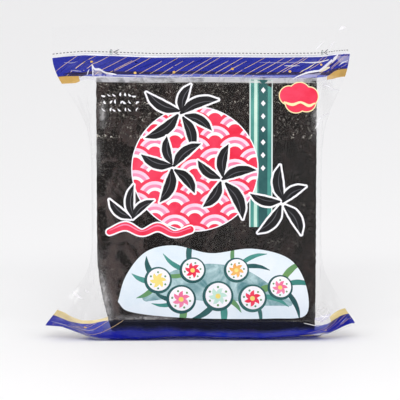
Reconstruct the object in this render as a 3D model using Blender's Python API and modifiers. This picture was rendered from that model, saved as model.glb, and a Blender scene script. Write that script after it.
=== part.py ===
"""A sealed packet of nori, standing on its folded bottom seal.

A tube of clear film, flattened and sealed at its top and bottom, holds a stack of roasted
seaweed sheets and a small drying sachet. The stack is far thicker than the flat seals, so the
film stands out in an ear at each corner. The bottom seal is folded forward and lies on the
surface, the top seal stands up as a header.

X points right, Y points back, Z points up, in metres. The origin is on the surface, under the
middle of the packet's box.
"""

import math
import random

import bmesh
import bpy
from mathutils import Vector

MM = 0.001

# A full nori sheet, and how the sheets are packed
SHEET_WIDTH = 190 * MM
SHEET_HEIGHT = 210 * MM
SHEET_COUNT = 100
SHEETS_A_PIECE = 2
BUNDLES = 10
PIECE_THICKNESS = 0.36 * MM
CLEARANCE = 0.3 * MM
EDGE_WAVE = 0.35 * MM
EDGE_STEPS = 5
SHEET_CORNER = 1.2 * MM
PRESSED_CORNER = (8.5 * MM, 24 * MM)
FRONT_BUNDLE_LIFT = 11.6 * MM
BUNDLE_LIFT_RANGE = (2 * MM, 14 * MM)
RESTING_BUNDLES = (3, 7)
SIDE_SHIFT = 0.6 * MM
LIFT_JITTER = 0.4 * MM
SEED = 17

# The film, drawn thicker than the real 0.08 mm so that it is a sound solid
FILM = 0.6 * MM
LAYER_HALF_GAP = (FILM + CLEARANCE) / 2
SIDE_ROOM = 3 * MM
SEAM_HALF_WIDTH = 6 * MM
SEAM_STEP = 0.8 * MM
BACK_BULGE = 6.5 * MM
BULGE_HEIGHT = 110 * MM
BULGE_REACH = 105 * MM

# Where the stack stands in the packet's box
STACK_X = 5.6 * MM
STACK_Y = 8.7 * MM

# The drying sachet, held between the stack and the back film
SACHET_WIDTH = 50 * MM
SACHET_HEIGHT = 62 * MM
SACHET_THICKNESS = 4 * MM
SACHET_CRIMP = 0.8 * MM
SACHET_X = 38 * MM
SACHET_Z = 78 * MM

PIECES = SHEET_COUNT // SHEETS_A_PIECE
PIECES_A_BUNDLE = PIECES // BUNDLES
PIECE_PITCH = PIECE_THICKNESS + CLEARANCE
STACK_DEPTH = PIECES * PIECE_PITCH - CLEARANCE
SIDE_X = SHEET_WIDTH / 2 + SIDE_ROOM
LOWEST_SHEET_Z = FILM + CLEARANCE + EDGE_WAVE

# Stations along the tube, from the bottom seal's free edge to the header's top edge, in mm.
# Each has the front film (y, z) and the back film (y, z) at the middle of the packet, the
# folded side edge's distance from the middle with its (y, z), and how far the edge curls up
# like the ear of a flap lying on the surface.
STATIONS = (
    # front        back           side edge             ear curl
    ((-42.5, 1.2), (-42.5, 0.3), (134.5, -41.5, 8.2), 1.0),
    ((-38.5, 1.2), (-38.5, 0.3), (134.0, -38.0, 10.2), 1.0),
    ((-32.5, 2.6), (-34.0, 0.3), (131.5, -32.5, 14.0), 1.0),
    ((-26.0, 5.9), (-29.0, 0.3), (128.5, -26.0, 18.5), 1.0),
    ((-20.8, 10.2), (-24.0, 0.3), (125.5, -20.0, 23.0), 1.0),
    ((-18.3, 13.6), (-17.0, 0.3), (123.0, -16.0, 26.5), 0.8),
    ((-17.6, 17.5), (-7.0, 0.3), (119.5, -12.0, 31.0), 0.6),
    ((-17.55, 23.0), (4.0, 0.3), (115.0, -8.0, 36.5), 0.4),
    ((-17.55, 30.0), (13.5, 0.3), (109.5, -4.0, 43.5), 0.2),
    ((-17.55, 39.0), (17.2, 4.5), (104.5, -1.0, 51.0), 0.0),
    ((-17.55, 50.0), (17.55, 22.0), (101.5, 0.0, 60.0), 0.0),
    ((-17.55, 64.0), (17.55, 45.0), (100.3, 0.0, 72.0), 0.0),
    ((-17.55, 86.0), (17.55, 76.0), (100.0, 0.0, 90.0), 0.0),
    ((-17.55, 112.0), (17.55, 108.0), (100.0, 0.0, 112.0), 0.0),
    ((-17.55, 138.0), (17.55, 138.0), (100.0, 0.0, 138.0), 0.0),
    ((-17.55, 162.0), (17.55, 162.0), (100.6, 0.0, 162.0), 0.0),
    ((-17.55, 180.0), (17.55, 180.0), (103.0, 0.3, 180.0), 0.0),
    ((-17.55, 196.0), (17.55, 196.0), (108.5, 0.8, 195.0), 0.0),
    ((-17.55, 209.0), (17.55, 209.0), (115.0, 1.5, 207.0), 0.0),
    ((-17.5, 220.0), (17.5, 220.0), (121.0, 2.5, 217.0), 0.0),
    ((-16.0, 227.5), (16.0, 227.5), (125.0, 3.0, 225.5), 0.0),
    ((-10.6, 233.5), (10.6, 233.5), (127.0, 2.5, 232.5), 0.0),
    ((-4.8, 238.5), (4.8, 238.5), (128.2, 1.5, 238.0), 0.0),
    ((-0.5, 243.5), (0.5, 243.5), (128.5, 0.5, 243.5), 0.0),
    ((-0.45, 248.5), (0.45, 248.5), (128.5, 0.0, 248.5), 0.0),
    ((-0.45, 258.5), (0.45, 258.5), (128.5, 0.0, 258.5), 0.0),
    ((-0.45, 268.5), (0.45, 268.5), (128.5, 0.0, 268.5), 0.0),
)
FIRST_SEAM_STATION = 10
BODY_EDGE = 100 * MM
EAR_EDGE = 134 * MM

# Across the film: shares of the flat face, then shares of the way from its corner to the edge
FACE_COLUMNS = (0.26, 0.52, 0.74, 0.9, 1.0)
SIDE_COLUMNS = (0.25, 0.5, 0.75)
CURLED_SIDE = (0.78, 0.32, 0.05)


def clear_scene():
    for thing in list(bpy.data.objects):
        bpy.data.objects.remove(thing, do_unlink=True)


def material(name, colour, roughness, alpha=1.0):
    made = bpy.data.materials.new(name)
    made.use_nodes = True
    shader = made.node_tree.nodes["Principled BSDF"]
    shader.inputs["Base Color"].default_value = (*colour, 1.0)
    shader.inputs["Roughness"].default_value = roughness
    shader.inputs["Metallic"].default_value = 0.0
    shader.inputs["Alpha"].default_value = alpha
    return made


def add_object(name, data, collection, shade, parent):
    made = bpy.data.objects.new(name, data)
    collection.objects.link(made)
    data.materials.append(shade)
    made.parent = parent
    return made


def mix(start, end, share):
    return start + (end - start) * share


# The stack of sheets


def side_points(start, end, draw):
    """Points along one side of a sheet, with the slight wave of a dried edge."""
    along = (end - start).normalized()
    across = Vector((along.y, -along.x))
    for step in range(EDGE_STEPS + 1):
        wave = 0.0 if step in (0, EDGE_STEPS) else draw.uniform(-EDGE_WAVE, EDGE_WAVE)
        yield start.lerp(end, step / EDGE_STEPS) + across * wave


def sheet_outline(draw):
    """A sheet's outline from its lower middle, with the lower left corner pressed in."""
    half, top = SHEET_WIDTH / 2, SHEET_HEIGHT
    pressed_x, pressed_z = PRESSED_CORNER
    cut = SHEET_CORNER
    sides = (
        (Vector((pressed_x - half, 0)), Vector((half - cut, 0))),
        (Vector((half, cut)), Vector((half, top - cut))),
        (Vector((half - cut, top)), Vector((cut - half, top))),
        (Vector((-half, top - cut)), Vector((-half, pressed_z))),
    )
    return [point for start, end in sides for point in side_points(start, end, draw)]


def bundle_lifts(draw):
    """How far each bundle stands above the lowest one, from the front to the back."""
    lifts = [draw.uniform(*BUNDLE_LIFT_RANGE) for _ in range(BUNDLES)]
    lifts[0] = FRONT_BUNDLE_LIFT
    for bundle in RESTING_BUNDLES:
        lifts[bundle] = 0.0
    return lifts


def sheet_piece(name, draw, place, collection, shade, parent):
    """Sheets lying face to face, as one flat solid standing on its long edge."""
    curve = bpy.data.curves.new(name, "CURVE")
    curve.dimensions = "2D"
    curve.fill_mode = "BOTH"
    curve.extrude = PIECE_THICKNESS / 2
    points = sheet_outline(draw)
    spline = curve.splines.new("POLY")
    spline.points.add(len(points) - 1)
    for target, point in zip(spline.points, points):
        target.co = (point.x, point.y, 0.0, 1.0)
    spline.use_cyclic_u = True
    made = add_object(name, curve, collection, shade, parent)
    made.rotation_euler = (math.radians(90), 0.0, 0.0)
    made.location = place
    return made


def build_stack(collection, shade, parent):
    draw = random.Random(SEED)
    lifts = bundle_lifts(draw)
    front = (PIECE_THICKNESS - STACK_DEPTH) / 2
    for index in range(PIECES):
        jitter = draw.uniform(0.0, LIFT_JITTER)
        height = LOWEST_SHEET_Z + lifts[index // PIECES_A_BUNDLE] + jitter
        place = (draw.uniform(-SIDE_SHIFT, SIDE_SHIFT), front + index * PIECE_PITCH, height)
        sheet_piece(f"nori_sheets_{index + 1:02d}", draw, place, collection, shade, parent)


# The film bag


def ear_share(edge):
    """0 where the film lies against the stack, 1 at the widest ear."""
    return (edge - BODY_EDGE) / (EAR_EDGE - BODY_EDGE)


def edge_normal(index):
    """Which way the front film faces at the side edge of a station, in the YZ plane."""
    before = STATIONS[max(index - 1, 0)][2]
    after = STATIONS[min(index + 1, len(STATIONS) - 1)][2]
    along = Vector((after[1] - before[1], after[2] - before[2])).normalized()
    return Vector((-along.y, along.x))


def back_bulge(x, z):
    """The back film's slack, which also holds the sachet."""
    across = max(0.0, 1 - (x / SIDE_X) ** 2)
    up = max(0.0, 1 - ((z - BULGE_HEIGHT) / BULGE_REACH) ** 2)
    return BACK_BULGE * across * up


def side_point(station, index, share, curled, layer):
    """A point between the face's corner and the side edge, on one of the two films."""
    front, back, (edge, edge_y, edge_z), curl = station
    fold = Vector((edge_y, edge_z)) * MM
    pull = mix(1 - share, curled, curl)
    films = [fold.lerp(Vector(film) * MM, pull) for film in (front, back)]
    if (films[0] - films[1]).length < 2 * LAYER_HALF_GAP:
        middle = (films[0] + films[1]) / 2
        apart = edge_normal(index) * LAYER_HALF_GAP
        films = [middle + apart, middle - apart]
    return mix(SIDE_X, edge * MM, share), films[layer]


def half_row(station, index, layer):
    """Points from the middle outwards, without the middle and the edge, as (x, (y, z))."""
    film = Vector(station[layer]) * MM
    row = [(SIDE_X * share, film) for share in FACE_COLUMNS]
    for share, curled in zip(SIDE_COLUMNS, CURLED_SIDE):
        row.append(side_point(station, index, share, curled, layer))
    return row


def seam_row(film, raised):
    """The lengthwise seam: a strip that stands out of the back film."""
    out = Vector((SEAM_STEP, 0.0)) if raised else Vector((0.0, 0.0))
    return [(0.0, film + out), (SEAM_HALF_WIDTH, film + out), (SEAM_HALF_WIDTH + 1 * MM, film)]


def station_ring(index):
    """One closed loop round the tube: front from left to right, then back again."""
    station = STATIONS[index]
    edge = station[2][0] * MM
    centre = -STACK_X * ear_share(edge)
    fold = Vector(station[2][1:]) * MM
    front = half_row(station, index, 0)
    middle_front = [(0.0, Vector(station[0]) * MM)]
    middle_back = seam_row(Vector(station[1]) * MM, index >= FIRST_SEAM_STATION)
    back = middle_back[1:] + half_row(station, index, 1)

    ring = [(-edge, fold)]
    ring += [(-x, film) for x, film in reversed(front)] + middle_front + front
    ring += [(edge, fold)]
    ring += list(reversed(back)) + middle_back[:1] + [(-x, film) for x, film in back]
    back_start = 2 * len(front) + 3
    points = []
    for place, (x, film) in enumerate(ring):
        y, z = film
        if place >= back_start and index >= FIRST_SEAM_STATION:
            y += back_bulge(x, z)
        beyond = max(0.0, abs(x) - SIDE_X) / (edge - SIDE_X)
        points.append(Vector((x + centre * beyond, y, z)))
    return points


def build_bag(collection, shade, parent):
    """A lofted tube of film, open only along the thin slots of its two flat seals."""
    mesh = bpy.data.meshes.new("film_bag")
    shell = bmesh.new()
    rings = [[shell.verts.new(p) for p in station_ring(i)] for i in range(len(STATIONS))]
    for lower, upper in zip(rings, rings[1:]):
        for here in range(len(lower)):
            after = (here + 1) % len(lower)
            shell.faces.new((lower[here], lower[after], upper[after], upper[here]))
    shell.to_mesh(mesh)
    shell.free()
    made = add_object("film_bag", mesh, collection, shade, parent)
    wall = made.modifiers.new("film thickness", "SOLIDIFY")
    wall.thickness = FILM
    wall.offset = 0.0
    wall.use_rim = True
    mesh.shade_smooth()
    return made


# The drying sachet


def sachet_half_thickness(x, z):
    """Full in the middle, and pressed flat along the crimped edges."""
    across = 1 - abs(2 * x / SACHET_WIDTH) ** 3
    up = 1 - abs(2 * z / SACHET_HEIGHT) ** 3
    return mix(SACHET_CRIMP, SACHET_THICKNESS, max(0.0, across * up)) / 2


def build_sachet(collection, shade, parent):
    mesh = bpy.data.meshes.new("drying_sachet")
    pillow = bmesh.new()
    bmesh.ops.create_cube(pillow, size=1.0)
    long_edges = [e for e in pillow.edges if abs(e.verts[0].co.y - e.verts[1].co.y) < 0.5]
    bmesh.ops.subdivide_edges(pillow, edges=long_edges, cuts=7, use_grid_fill=True)
    for vert in pillow.verts:
        x, z = vert.co.x * SACHET_WIDTH, vert.co.z * SACHET_HEIGHT
        vert.co = (x, math.copysign(sachet_half_thickness(x, z), vert.co.y), z)
    pillow.to_mesh(mesh)
    pillow.free()
    made = add_object("drying_sachet", mesh, collection, shade, parent)
    behind = STACK_DEPTH / 2 + CLEARANCE + SACHET_THICKNESS / 2
    made.location = (SACHET_X, behind, SACHET_Z)
    return made


def main():
    clear_scene()
    collection = bpy.data.collections.new("nori_packet")
    bpy.context.scene.collection.children.link(collection)
    stand = bpy.data.objects.new("stack_place", None)
    collection.objects.link(stand)
    stand.location = (STACK_X, STACK_Y, 0.0)

    nori = material("nori", (0.018, 0.017, 0.014), 0.55)
    film = material("clear_film", (0.92, 0.93, 0.95), 0.12, 0.25)
    paper = material("sachet_paper", (0.86, 0.86, 0.84), 0.8)
    build_stack(collection, nori, stand)
    build_bag(collection, film, stand)
    build_sachet(collection, paper, stand)


main()
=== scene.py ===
"""The looks of a sealed packet of nori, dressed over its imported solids.

The bag is one fine tube of clear film, lofted through the same stations as its solid and creased
by formula. Its inks are thin meshes, cut to shape and laid on that film. The sheets are ragged
leaves of seaweed in bundles, and the drying sachet is a crimped paper pillow.

Lengths are in millimetres until a mesh is made. X points right, Y back and Z up.
"""

import math
import random

import bpy
import numpy as np
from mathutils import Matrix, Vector
from mathutils import noise as perlin
from mathutils.geometry import delaunay_2d_cdt


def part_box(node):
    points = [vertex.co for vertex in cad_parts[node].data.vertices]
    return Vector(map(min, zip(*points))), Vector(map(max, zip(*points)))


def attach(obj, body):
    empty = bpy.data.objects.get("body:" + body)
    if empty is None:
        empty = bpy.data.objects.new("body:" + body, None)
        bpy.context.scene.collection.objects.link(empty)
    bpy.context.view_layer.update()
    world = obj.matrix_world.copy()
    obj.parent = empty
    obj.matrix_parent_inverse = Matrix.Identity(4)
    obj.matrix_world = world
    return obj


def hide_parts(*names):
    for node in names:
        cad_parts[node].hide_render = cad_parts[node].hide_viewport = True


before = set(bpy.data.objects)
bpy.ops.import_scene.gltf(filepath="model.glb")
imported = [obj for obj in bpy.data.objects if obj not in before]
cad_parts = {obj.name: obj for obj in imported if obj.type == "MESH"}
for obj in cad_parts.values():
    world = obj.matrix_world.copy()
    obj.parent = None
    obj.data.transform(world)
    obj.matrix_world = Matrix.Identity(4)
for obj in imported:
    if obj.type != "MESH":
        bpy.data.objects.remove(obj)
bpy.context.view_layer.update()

MM = 0.001
BODY = "root"

# Where the stack of sheets stands, and how the film goes round it
STACK_X = 5.6
STACK_Y = 8.7
SIDE_X = 98.0
BODY_EDGE = 100.0
EAR_EDGE = 134.0
EAR_WIDTH = EAR_EDGE - SIDE_X

# Stations along the tube: front film (y, z), back film (y, z), side edge (x, y, z), ear curl
STATIONS = (
    ((-42.5, 1.2), (-42.5, 0.3), (134.5, -41.5, 8.2), 1.0),
    ((-38.5, 1.2), (-38.5, 0.3), (134.0, -38.0, 10.2), 1.0),
    ((-32.5, 2.6), (-34.0, 0.3), (131.5, -32.5, 14.0), 1.0),
    ((-26.0, 5.9), (-29.0, 0.3), (128.5, -26.0, 18.5), 1.0),
    ((-20.8, 10.2), (-24.0, 0.3), (125.5, -20.0, 23.0), 1.0),
    ((-18.3, 13.6), (-17.0, 0.3), (123.0, -16.0, 26.5), 0.8),
    ((-17.6, 17.5), (-7.0, 0.3), (119.5, -12.0, 31.0), 0.6),
    ((-17.55, 23.0), (4.0, 0.3), (115.0, -8.0, 36.5), 0.4),
    ((-17.55, 30.0), (13.5, 0.3), (109.5, -4.0, 43.5), 0.2),
    ((-17.55, 39.0), (17.2, 4.5), (104.5, -1.0, 51.0), 0.0),
    ((-17.55, 50.0), (17.55, 22.0), (101.5, 0.0, 60.0), 0.0),
    ((-17.55, 64.0), (17.55, 45.0), (100.3, 0.0, 72.0), 0.0),
    ((-17.55, 86.0), (17.55, 76.0), (100.0, 0.0, 90.0), 0.0),
    ((-17.55, 112.0), (17.55, 108.0), (100.0, 0.0, 112.0), 0.0),
    ((-17.55, 138.0), (17.55, 138.0), (100.0, 0.0, 138.0), 0.0),
    ((-17.55, 162.0), (17.55, 162.0), (100.6, 0.0, 162.0), 0.0),
    ((-17.55, 180.0), (17.55, 180.0), (103.0, 0.3, 180.0), 0.0),
    ((-17.55, 196.0), (17.55, 196.0), (108.5, 0.8, 195.0), 0.0),
    ((-17.55, 209.0), (17.55, 209.0), (115.0, 1.5, 207.0), 0.0),
    ((-17.5, 220.0), (17.5, 220.0), (121.0, 2.5, 217.0), 0.0),
    ((-16.0, 227.5), (16.0, 227.5), (125.0, 3.0, 225.5), 0.0),
    ((-10.6, 233.5), (10.6, 233.5), (127.0, 2.5, 232.5), 0.0),
    ((-4.8, 238.5), (4.8, 238.5), (128.2, 1.5, 238.0), 0.0),
    ((-0.5, 243.5), (0.5, 243.5), (128.5, 0.5, 243.5), 0.0),
    ((-0.45, 248.5), (0.45, 248.5), (128.5, 0.0, 248.5), 0.0),
    ((-0.45, 258.5), (0.45, 258.5), (128.5, 0.0, 258.5), 0.0),
    ((-0.45, 268.5), (0.45, 268.5), (128.5, 0.0, 268.5), 0.0),
)
CURLED_SHARES = (0.0, 0.25, 0.5, 0.75, 1.0)
CURLED_PULL = (1.0, 0.78, 0.32, 0.05, 0.0)
BACK_BULGE = 6.5
BULGE_HEIGHT = 110.0
BULGE_REACH = 105.0

# Where the inks begin and end on the front film, as heights above the surface. The flap's bare
# margin, the lower gold strip and the edge line are given by their widths
FLAP_MARGIN = 4.0
LOWER_INK_TOP = 13.6
LOWER_GOLD = 5.0
TIGHT_BASE = 222.6
UPPER_GOLD_BASE = 224.4
UPPER_INK_BASE = 227.3
UPPER_INK_TOP = 242.2
EDGE_LINE = 1.3
CUT_LINE = 245.5

# How far out from the middle the gold strips show, at the left and right, low and high
GOLD_FROM = ((86.5, 113.0), (112.0, 106.0))

# How far the lower inks sink towards the flap's edge along its length, as places and drops
LOW_INK_DROP = ((-136, 10.0), (-127, 13.0), (-119, 15.5), (-110, 10.5), (-100, 3.5), (-90, 0.5))
LOW_INK_DROP += ((-84, 0.0), (60, 0.0), (80, 2.0), (92, 5.0), (102, 8.0), (112, 11.0))
LOW_INK_DROP += ((124, 10.5), (136, 9.5))

# How much higher than its row the lower gold strip ends, as places and rises
LOW_GOLD_RISE = ((-136, 1.0), (-122, 2.2), (-114, 0.0), (-108, -1.0), (-95, -2.2), (-88, -2.8))
LOW_GOLD_RISE += ((-83, 0.0), (104, 0.0), (112, 1.6), (136, 2.0))

# Where the film is painted milky: partly crushed film, partly painted highlights and sheen along the
# stack's edges and the folds. Along segments from a point to a point, with how much and how far
HAZE_AND_GLINT_LINES = (
    ((-95, 84), (-93, 24), 0.3, 3.0),
    ((-93.0, 62), (-81.5, 2), 0.9, 2.5),
    ((-87, 15.8), (-24, 14.9), 0.7, 1.5),
    ((-90, 210), (-89.5, 181), 0.8, 1.9),
    ((-94, 180), (-93, 140), 0.3, 1.8),
    ((93.5, 220), (94, 168), 0.5, 1.8),
    ((-95, 224), (96, 224), 0.4, 1.2),
    ((-134, 236), (-60, 243), 0.25, 4.0),
    ((56, 243), (130, 244), 0.4, 2.6),
    ((92, 222), (120, 218), 0.6, 4.0),
    ((92, 26), (118, 12), 0.6, 4.0),
    ((-134, 2), (-96, -6), 0.4, 5.0),
)

# Sharp folds that show on the film by tone, the topmost last: widths, and the places passed. The tones are
# painted light: white and cream glints, dull lavender sheen and dark shade in the folds, partly whitened
# or doubled film
FOLD_GLINTS_AND_SHADE = {
    "dark": (
        ((0.6, 2.6, 0.8), ((-127, 229.6), (-117, 230.2), (-106, 229.4))),
        ((0.4, 1.2, 0.4), ((109, 236.8), (113, 239), (117.5, 241.6))),
        ((0.4, 1.2, 0.5), ((118, 230.6), (125, 229.4), (132, 228.6))),
    ),
    "dull": (
        ((1.2, 5.0, 3.0), ((-99, 233), (-91, 230), (-82, 228.6))),
        ((0.3, 0.9, 0.3), ((-6, 228.6), (30, 228.4), (72, 228.3))),
        ((0.4, 1.4, 0.4), ((-119, 233), (-114, 232.4), (-109, 231.6))),
        ((0.4, 1.2, 0.3), ((-124, 242), (-117, 241), (-112, 242))),
        ((0.4, 1.0, 0.5), ((46, 243), (62, 242.8), (82, 243.2))),
        ((0.8, 4.6, 1.6), ((76, 226.4), (88, 229), (98, 231))),
        ((2.0, 7.5, 8.0), ((118, 247), (124, 243), (132, 242))),
        ((1.0, 5.0, 3.2, 1.0), ((-131, 0), (-122, -3), (-112, -5), (-100, -9))),
        ((2.0, 7.0, 2.4), ((95, 20), (104, 20), (113, 20))),
    ),
    "cream": (
        ((0.4, 1.0, 0.4), ((81, 233), (88, 237), (94, 242))),
        ((1.8, 3.8, 1.8), ((98, 233.4), (103, 234.8), (109, 235.6))),
    ),
    "white": (
        ((0.9, 1.9, 1.2), ((-98.5, 238), (-96, 234), (-91, 232.8), (-87, 230.8), (-78, 229.4))),
        ((0.5, 1.4, 1.0), ((-98.5, 238), (-98, 233), (-98, 228.5))),
        ((0.4, 0.8, 0.4), ((-101.5, 234), (-102.6, 231), (-103.5, 228.5))),
        ((0.3, 0.8, 0.3), ((-78, 228.9), (-40, 228.4), (-12, 228.7))),
        ((0.5, 1.3, 0.8), ((80, 243.2), (94, 242.6), (108, 244.4))),
        ((0.3, 0.9, 0.3), ((67, 239.6), (73, 239.2), (80, 239.5))),
        ((0.6, 1.2, 1.6), ((74, 226.4), (80, 229.2), (89.5, 232.8), (97, 234.2))),
        ((1.6, 3.4, 2.6), ((97, 234.2), (104, 237.6), (112, 243))),
        ((1.0, 3.6, 1.2), ((113, 241), (116, 244.6), (119.5, 248))),
        ((0.5, 1.6, 0.5), ((121, 235.4), (126, 238.6), (132.5, 241))),
        ((0.3, 1.1, 0.4), ((94.5, 255), (98, 258.5), (102, 261.6))),
        ((0.5, 1.9, 0.5), ((109.5, 255.6), (112, 258), (115.5, 260))),
        ((0.8, 2.8, 0.8), ((121, 270), (124.5, 271.6), (128, 272.2))),
        ((0.5, 1.3, 0.6), ((104, 220.4), (118, 218.6), (133, 217.4))),
        ((0.6, 1.7, 1.0), ((107, 194), (120, 194.6), (133, 195.8))),
        ((0.4, 1.2, 0.6), ((94, 189.6), (101, 192.4), (109, 194.2))),
        ((0.4, 1.5, 0.5), ((93.5, 182.6), (96, 186.4), (99, 189.8))),
        ((0.3, 1.2, 0.3), ((-133, 31.4), (-124, 32.6), (-114, 34.4))),
        ((0.3, 1.2, 0.3), ((-120, 40), (-115, 38.6), (-110, 39.4))),
        ((0.3, 0.6, 0.3), ((-118, 4), (-108, 1.6), (-98, 2.4))),
        ((0.4, 1.2, 0.4), ((96, 26.4), (103, 22.6), (111, 20))),
        ((0.4, 1.0, 0.4), ((97, 17.4), (105, 20), (112, 24))),
        ((0.5, 1.2, 0.6), ((85, 13.4), (92, 12.8), (98, 12.2))),
        ((0.3, 0.9, 0.3), ((120, -3), (124.5, 1.4), (129, 6))),
    ),
}

# Folds that stand out, each from a point to a point of the front film, with height and width
FRONT_FOLDS = (
    ((-117, -14), (-125, 24), 2.6, 3.0),
    ((-104, -8), (-110, 30), 1.2, 2.2),
    ((-100, 241), (-86, 226), 2.6, 1.6),
    ((-104, 236), (-92, 228), -1.6, 1.4),
    ((-96, 248), (-118, 226), 1.2, 1.8),
    ((68, 225), (104, 240), 1.8, 1.5),
    ((84, 226), (118, 247), -1.4, 1.6),
    ((96, 226), (126, 240), 2.0, 1.8),
    ((104, 222), (128, 229), 1.8, 1.6),
    ((98, 214), (124, 221), 1.6, 1.4),
    ((96, 186), (114, 190), 1.6, 1.3),
    ((100, 202), (116, 197), -1.2, 1.4),
    ((92, 16), (112, 6), 2.2, 1.8),
    ((86, 20), (124, 18), 1.6, 2.0),
    ((88, 28), (110, 22), 1.4, 1.6),
    ((112, -6), (126, 20), 2.0, 2.2),
)

# How high the flap's free edge stands above the surface along its length
FLAP_EDGE = ((-136, 11.2), (-122, 10.9), (-110, 7.3), (-99, 3.4), (-90, 1.6), (-60, 1.2), (-30, 2.8))
FLAP_EDGE += ((0, 3.4), (20, 2.2), (50, 2.0), (81, 4.4), (97, 6.0), (107, 6.6), (116, 8.9))
FLAP_EDGE += ((123, 11.6), (130, 14.0), (136, 14.2))

# How high the header and its band stand above a straight line along their length
BAND_RISE = ((-136, -1.0), (-122, 0.6), (-105, 1.9), (-80, 1.2), (-45, 0.0))
BAND_RISE += ((60, 0.0), (100, 0.6), (124, 2.3), (136, 2.6))

# The film's grid, where its two layers part, and how near they come to each other and the surface
ROW_STEP = 1.6
FACE_COLUMNS = 110
SIDE_STEPS = 20
STATION_ROUNDING = 3.0
ONE_LAYER_GAP, TWO_LAYER_GAP = 2.0, 9.0
LEAST_GAP = 0.25
HALF_GAP = 0.08
FLOOR_GAP = 0.12

# The sheets: the pressed corner, the pressed fold lines, and the room left round each sheet
PRESSED_DEPTH = 12.2
PRESSED_HEIGHT = 65.0
FOLD_LINES = (176.5, 204.8)
NODES_A_BUNDLE = 5
SHEETS_A_NODE = 2
SHEET_PITCH = 0.2
SHEET_THICKNESS = 0.16
LEFT_ROOM, RIGHT_ROOM = 1.2, 0.9
OUTER_SHEET_GAP = 0.22
EDGE_WOBBLE = 0.35
OUTLINE_STEP = 3.2
RELIEF_STEP = 1.7

# The sachet's crimped rim, and the pitch of its teeth
CRIMP = 4.2
CRIMP_FADE = 3.0
TOOTH_PITCH = 2.6

# The seam on the back film
SEAM_HALF_WIDTH = 6.0
SEAM_FOOT = 30.0
SEAM_LIFT = 0.45

# Printed lines: where the bands' lines begin and end, and the cut line's dashes
BAND_FROM, BAND_TO = -134.0, 122.0
CUT_FROM, CUT_TO = -133.6, 131.6
DASH, DASH_PITCH, DASH_HALF_HEIGHT = 1.8, 3.1, 0.38
BLADES_AT = (-80.0, 103.0)

SEED = 23
# The haze attribute carries milky creases and also painted highlights and sheen on the film
HAZE_AND_GLINT = "haze"
NO_TINT = (1.0, 1.0, 1.0, 1.0)


# Meshes and materials


def add_mesh(name, points, faces, materials, replaced=(), face_slots=None, smooth=True):
    """A piece from points in millimetres, riding on the packet."""
    mesh = bpy.data.meshes.new(name)
    mesh.from_pydata([tuple(p) for p in np.asarray(points) * MM], [], [tuple(f) for f in faces])
    for material in materials:
        mesh.materials.append(material)
    if face_slots is not None:
        mesh.polygons.foreach_set("material_index", np.asarray(face_slots, np.int32))
    if smooth:
        mesh.shade_smooth()
    mesh.update()
    piece = bpy.data.objects.new(name, mesh)
    bpy.context.scene.collection.objects.link(piece)
    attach(piece, BODY)
    if replaced:
        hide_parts(*replaced)
    return piece


def grid_faces(rows, columns, flipped=False, first=0):
    """The faces of a grid of points, given its numbers of faces up and across."""
    faces = []
    for row in range(rows):
        for column in range(columns):
            a = first + row * (columns + 1) + column
            quad = (a, a + 1, a + columns + 2, a + columns + 1)
            faces.append(quad[::-1] if flipped else quad)
    return faces


class Surface:
    """A node material, built by adding nodes one at a time."""

    def __init__(self, name):
        self.material = bpy.data.materials.new(name)
        self.material.use_nodes = True
        self.tree = self.material.node_tree
        self.output = self.tree.nodes["Material Output"]
        self.shader = self.tree.nodes["Principled BSDF"]
        self.place = self.tree.nodes.new("ShaderNodeTexCoord").outputs["Object"]

    def put(self, target, value):
        if isinstance(value, bpy.types.NodeSocket):
            self.tree.links.new(value, target)
        else:
            target.default_value = value

    def add(self, kind, inputs=None, **settings):
        node = self.tree.nodes.new("ShaderNode" + kind)
        for name, value in settings.items():
            setattr(node, name, value)
        for key, value in (inputs or {}).items():
            self.put(node.inputs[key], value)
        return node

    def set(self, **values):
        for name, value in values.items():
            self.put(self.shader.inputs[name.replace("_", " ")], value)

    def stretched(self, scale):
        return self.add("Mapping", {"Vector": self.place, "Scale": scale}).outputs[0]

    def noise(self, scale, detail=4.0, roughness=0.55, distortion=0.0, stretch=None):
        place = self.stretched(stretch) if stretch else self.place
        values = {"Vector": place, "Scale": scale, "Detail": detail}
        values.update({"Roughness": roughness, "Distortion": distortion})
        return self.add("TexNoise", values).outputs["Fac"]

    def ramp(self, value, low, high, start=0.0, end=1.0):
        values = {"Value": value, "From Min": low, "From Max": high, "To Min": start, "To Max": end}
        return self.add("MapRange", values, clamp=True).outputs["Result"]

    def math(self, operation, first, second=0.0):
        return self.add("Math", {0: first, 1: second}, operation=operation).outputs[0]

    def times(self, first, second):
        return self.math("MULTIPLY", first, second)

    def plus(self, first, second):
        return self.math("ADD", first, second)

    def blend(self, share, first, second):
        values = {"Factor": share, 6: first, 7: second}
        return self.add("Mix", values, data_type="RGBA").outputs[2]

    def bump(self, height, strength, distance):
        values = {"Height": height, "Strength": strength, "Distance": distance}
        return self.add("Bump", values).outputs[0]

    def done(self, shader=None):
        if shader is not None:
            self.tree.links.new(shader, self.output.inputs["Surface"])
        return self.material


def rgb(red, green, blue):
    """A colour of 0 to 255 as it looks, as the linear colour that shaders take."""

    def linear(value):
        share = value / 255
        return share / 12.92 if share <= 0.04045 else ((share + 0.055) / 1.055) ** 2.4

    return (linear(red), linear(green), linear(blue), 1.0)


def film_bump(surface):
    """Fine crinkles of thin stiff film, finer than the modelled creases."""
    soft = surface.noise(55.0, 3.0, 0.5, 0.6)
    sharp = surface.add("TexVoronoi", {"Vector": surface.place, "Scale": 90.0}, feature="F2")
    height = surface.plus(surface.times(sharp.outputs["Distance"], 0.35), soft)
    return surface.bump(height, 0.18, 0.0012)


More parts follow.
